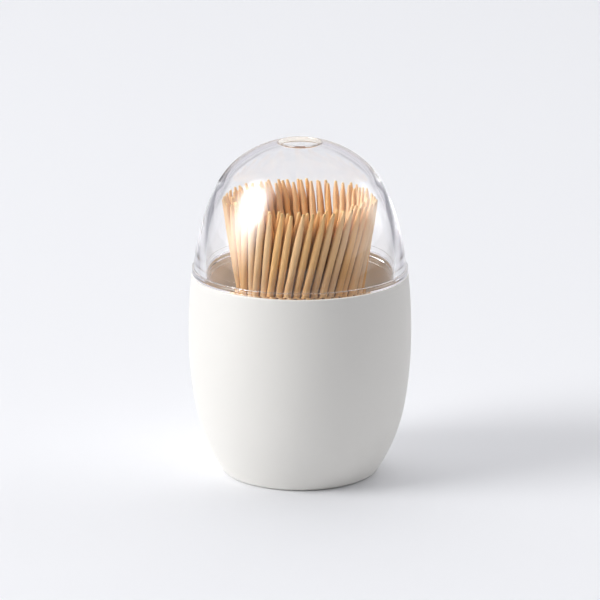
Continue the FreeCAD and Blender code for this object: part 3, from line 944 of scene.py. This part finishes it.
    def bundle(self, name: str, sticks: list[dict[str, np.ndarray]],
               finish: bpy.types.Material) -> bpy.types.Object:
        """Write the sticks of one node as one mesh, with its attributes.

        Args:
            name: Name of the object.
            sticks: Points and attributes of each stick.
            finish: Material of the sticks.

        Returns:
            The new object.
        """
        rings = len(sticks[0]["points"]) // self.sides
        faces, count = [], 0
        for stick in sticks:
            last = count + (rings - 1) * self.sides
            faces += grid_faces(rings, self.sides, first=count).tolist()
            faces.append(list(range(count + self.sides - 1, count - 1, -1)))
            faces.append(list(range(last, last + self.sides)))
            count += len(stick["points"])
        data = {key: np.concatenate([stick[key] for stick in sticks]) for key in sticks[0]}
        piece = write_mesh(name, data["points"], faces, finish)
        grain = piece.data.attributes.new("grain", "FLOAT_VECTOR", "POINT")
        grain.data.foreach_set("vector", data["grain"].astype(np.float32).reshape(-1))
        for key in ("tone", "tip"):
            values = piece.data.attributes.new(key, "FLOAT", "POINT")
            values.data.foreach_set("value", data[key].astype(np.float32))
        return piece

    def build(self) -> None:
        """Make every toothpick in place of its node."""
        material = self.finish.material()
        chance = np.random.default_rng(self.seed)
        total = 0
        for name in sorted(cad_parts):
            if not name.startswith(self.prefix):
                continue
            sticks = [self.stick(*ends, chance) for ends in self.axes(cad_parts[name])]
            piece = self.bundle(name.replace(self.prefix, "bamboo_pick"), sticks, material)
            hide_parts(name)
            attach(piece, Body.CUP.value)
            total += len(sticks)
        log.info("made %d toothpicks", total)


@dataclass(frozen=True)
class SoftBox:
    """A studio lamp behind cloth: bright in its middle and fading to its edges.

    A lamp that doesn't light matt surfaces is seen only in shine, and only widens a highlight.
    """

    name: str
    towards: tuple[float, float, float]
    distance: float
    width: float
    height: float
    power: float
    colour: str = "#FFFFFF"
    full_share: float = 0.4
    lights_matt: bool = True

    def build(self, target: Vector) -> None:
        """Hang the lamp.

        Args:
            target: Point that it faces, in metres.
        """
        # The lamp's own coordinates run from zero to one, so its middle is a half from every edge.
        half = 0.5
        data = bpy.data.lights.new(self.name, "AREA")
        data.shape = "RECTANGLE"
        data.size, data.size_y = self.width, self.height
        data.energy = self.power
        data.color = linear(self.colour)[:3]
        data.use_nodes = True
        tree = data.node_tree
        tree.nodes.clear()
        place = add_node(tree, "ShaderNodeNewGeometry").outputs["Parametric"]
        centred = add_node(tree, "ShaderNodeVectorMath", {
            0: place, 1: (half, half, 0.0)}, operation="SUBTRACT")
        spread = add_node(tree, "ShaderNodeVectorMath", {0: centred.outputs[0]}, operation="LENGTH")
        fade = add_node(tree, "ShaderNodeMapRange", {
            "Value": spread.outputs["Value"], "From Min": self.full_share * half, "From Max": half,
            "To Min": 1.0, "To Max": 0.0}, interpolation_type="SMOOTHSTEP")
        glow = add_node(tree, "ShaderNodeEmission", {"Strength": fade.outputs[0]})
        add_node(tree, "ShaderNodeOutputLight", {"Surface": glow.outputs[0]})
        lamp = bpy.data.objects.new(self.name, data)
        lamp.visible_diffuse = self.lights_matt
        bpy.context.scene.collection.objects.link(lamp)
        direction = Vector(self.towards).normalized()
        lamp.location = target + direction * self.distance
        lamp.rotation_euler = direction.to_track_quat("Z", "Y").to_euler()


@dataclass(frozen=True)
class RoomSide:
    """One pale side of the room: its light falls with the cosine of the angle from its middle."""

    towards: tuple[float, float, float]
    light: float


@dataclass
class Studio:
    """Pale floor, soft lamps, pale room and the camera.

    The walls that the lid mirrors are given as parts of the direction towards them, from -1 to 1:
    along Y for the near wall, and along X for the side walls.
    """

    floor_colour: str = "#EBECEF"
    room_colour: str = "#F4F4F6"
    seen_colour: str = "#D9D7DE"
    near_wall: tuple[float, float] = (-0.85, -0.35)
    near_wall_light: float = 0.15
    side_walls: tuple[float, float] = (0.8, 0.97)
    side_wall_light: float = 1.05
    room_light: float = 0.16
    room_sides: tuple[RoomSide, ...] = (
        RoomSide((0.0, 1.0, 0.2), 1.29),
        RoomSide((0.0, 0.0, 1.0), 0.38),
    )
    floor_size: float = 6.0
    floor_front: float = -0.75
    unshaded_reach: float = 0.11
    # Colour of the painted shade at the floor's sides.
    side_shade_colour: str = "#8A8A92"
    paper_roughness: float = 0.8
    paper_shine: float = 0.2
    camera_place: tuple[float, float, float] = (0.0, -0.8141, 0.2641)
    camera_pitch: float = 15.33
    lens_mm: float = 217.3
    sensor_mm: float = 36.0
    target: tuple[float, float, float] = (0.0, 0.0, 0.04)
    wall_bounces: int = 24
    matt_bounces: int = 6
    lamps: tuple[SoftBox, ...] = (
        SoftBox("key_lamp", (-0.85, -0.25, 0.53), 3.0, 2.4, 1.7, 150.0),
        SoftBox("key_cloth", (-0.85, -0.22, 0.50), 3.1, 3.8, 4.2, 580.0, full_share=0.05,
                lights_matt=False),
        SoftBox("side_lamp", (0.9, 0.35, 0.35), 3.0, 2.0, 2.0, 17.0),
    )

    def build_floor(self) -> None:
        """Lay the floor: matt coated paper, a shade cooler than the cup, with a painted grey shade
        towards its sides.
        """
        material, tree = new_material("coated_paper")
        place = add_node(tree, "ShaderNodeTexCoord").outputs["Object"]
        across = add_node(tree, "ShaderNodeSeparateXYZ", {0: place}).outputs[0]
        aside = add_node(tree, "ShaderNodeMath", {0: across}, operation="ABSOLUTE")
        # Painted shade: the paper turns grey away from the middle, where the studio's light falls off.
        fade = add_node(tree, "ShaderNodeMapRange", {
            "Value": aside.outputs[0], "From Min": self.unshaded_reach,
            "From Max": 2 * self.unshaded_reach}, interpolation_type="SMOOTHSTEP")
        colour = add_node(tree, "ShaderNodeMix", {
            "Factor": fade.outputs[0], COLOUR_A: linear(self.floor_colour),
            COLOUR_B: linear(self.side_shade_colour)}, data_type="RGBA")
        shader = add_node(tree, "ShaderNodeBsdfPrincipled", {
            "Base Color": colour.outputs[MIXED], "Roughness": self.paper_roughness,
            "Specular IOR Level": self.paper_shine})
        add_node(tree, "ShaderNodeOutputMaterial", {"Surface": shader.outputs[0]})
        reach = self.floor_size / 2 / MM
        front = self.floor_front / MM
        corners = np.array([[-reach, front, 0.0], [reach, front, 0.0], [reach, reach, 0.0],
                            [-reach, reach, 0.0]])
        floor = write_mesh("floor", corners, [(0, 1, 2, 3)], material)

    def build_room(self) -> None:
        """Give the room its pale light: an even share, and more from each bright side.

        The lid and the sheen of the other pieces see plain grey walls instead, dark on the camera's
        side and brighter at the two sides, because the real lid doesn't mirror the bright sides.
        """
        world = bpy.data.worlds.new("pale_room")
        world.use_nodes = True
        tree = world.node_tree
        tree.nodes.clear()
        towards = add_node(tree, "ShaderNodeTexCoord").outputs["Generated"]
        total = add_node(tree, "ShaderNodeValue").outputs[0]
        total.default_value = self.room_light
        for side in self.room_sides:
            middle = Vector(side.towards).normalized()
            facing = add_node(tree, "ShaderNodeVectorMath", {0: towards, 1: middle},
                              operation="DOT_PRODUCT")
            share = add_node(tree, "ShaderNodeMath", {0: facing.outputs["Value"], 1: 0.0},
                             operation="MAXIMUM")
            total = add_node(tree, "ShaderNodeMath", {0: share.outputs[0], 1: side.light, 2: total},
                             operation="MULTIPLY_ADD").outputs[0]
        light = add_node(tree, "ShaderNodeBackground", {
            "Color": linear(self.room_colour), "Strength": total})
        parts = add_node(tree, "ShaderNodeSeparateXYZ", {0: towards}).outputs
        behind = add_node(tree, "ShaderNodeMapRange", {
            "Value": parts[1], "From Min": self.near_wall[0], "From Max": self.near_wall[1],
            "To Min": self.near_wall_light}, interpolation_type="SMOOTHSTEP")
        aside = add_node(tree, "ShaderNodeMath", {0: parts[0]}, operation="ABSOLUTE")
        beside = add_node(tree, "ShaderNodeMapRange", {
            "Value": aside.outputs[0], "From Min": self.side_walls[0],
            "From Max": self.side_walls[1], "To Max": self.side_wall_light},
            interpolation_type="SMOOTHSTEP")
        seen = add_node(tree, "ShaderNodeMath", {0: behind.outputs[0], 1: beside.outputs[0]})
        walls = add_node(tree, "ShaderNodeBackground", {
            "Color": linear(self.seen_colour), "Strength": seen.outputs[0]})
        rays = add_node(tree, "ShaderNodeLightPath").outputs
        mirrored = add_node(tree, "ShaderNodeMath", {
            0: rays["Is Glossy Ray"], 1: rays["Is Transmission Ray"]}, operation="MAXIMUM")
        room = add_node(tree, "ShaderNodeMixShader", {
            0: mirrored.outputs[0], 1: light.outputs[0], 2: walls.outputs[0]})
        add_node(tree, "ShaderNodeOutputWorld", {"Surface": room.outputs[0]})
        bpy.context.scene.world = world

    def build_camera(self) -> None:
        """Set up the camera at the photograph's angle."""
        data = bpy.data.cameras.new("camera")
        data.lens, data.sensor_width = self.lens_mm, self.sensor_mm
        camera = bpy.data.objects.new("camera", data)
        camera.location = self.camera_place
        camera.rotation_euler = (math.radians(90.0 - self.camera_pitch), 0.0, 0.0)
        bpy.context.scene.collection.objects.link(camera)
        bpy.context.scene.camera = camera

    def set_light_paths(self) -> None:
        """Let light turn often enough inside the clear wall, which else looks black near its edge."""
        paths = bpy.context.scene.cycles
        paths.max_bounces = self.wall_bounces + self.matt_bounces
        paths.glossy_bounces = self.wall_bounces
        paths.transmission_bounces = self.wall_bounces
        paths.transparent_max_bounces = self.wall_bounces
        paths.diffuse_bounces = self.matt_bounces

    def build(self) -> None:
        """Set up everything around the object."""
        self.build_floor()
        self.build_room()
        for lamp in self.lamps:
            lamp.build(Vector(self.target))
        self.build_camera()
        self.set_light_paths()
        bpy.context.scene.view_settings.view_transform = "Standard"
        log.info("studio ready with %d lamps", len(self.lamps))


def main() -> None:
    """Build the dispenser and the studio."""
    logging.basicConfig(level=logging.INFO, format="%(name)s: %(message)s")
    white = MouldedPlastic("moulded_white_abs", "#EFEDE8", "#EBE9E4", roughness=0.55)
    inner = MouldedPlastic("moulded_grey_white_pp", "#F0EBE6", "#EBE6E0", roughness=0.5)
    clear = ClearPolystyrene("moulded_clear_polystyrene", "#FFFFFF", "#FFFFFF", roughness=0.0,
                             ior=1.5)
    # The darkest bamboo colour is a painted shade for between close sticks, not a colour of the wood.
    bamboo = SplitBamboo("split_bamboo", pale="#FBD9AE", deep="#F8BE6C", bundle="#B77F41",
                         tip="#FDD38A", painted_crevice_shade="#6A340C", roughness=0.42)
    for part in (BodyShell(white), PickCup(inner), DomeLid(clear), Toothpicks(bamboo), Studio()):
        part.build()


if __name__ == "__main__":
    main()
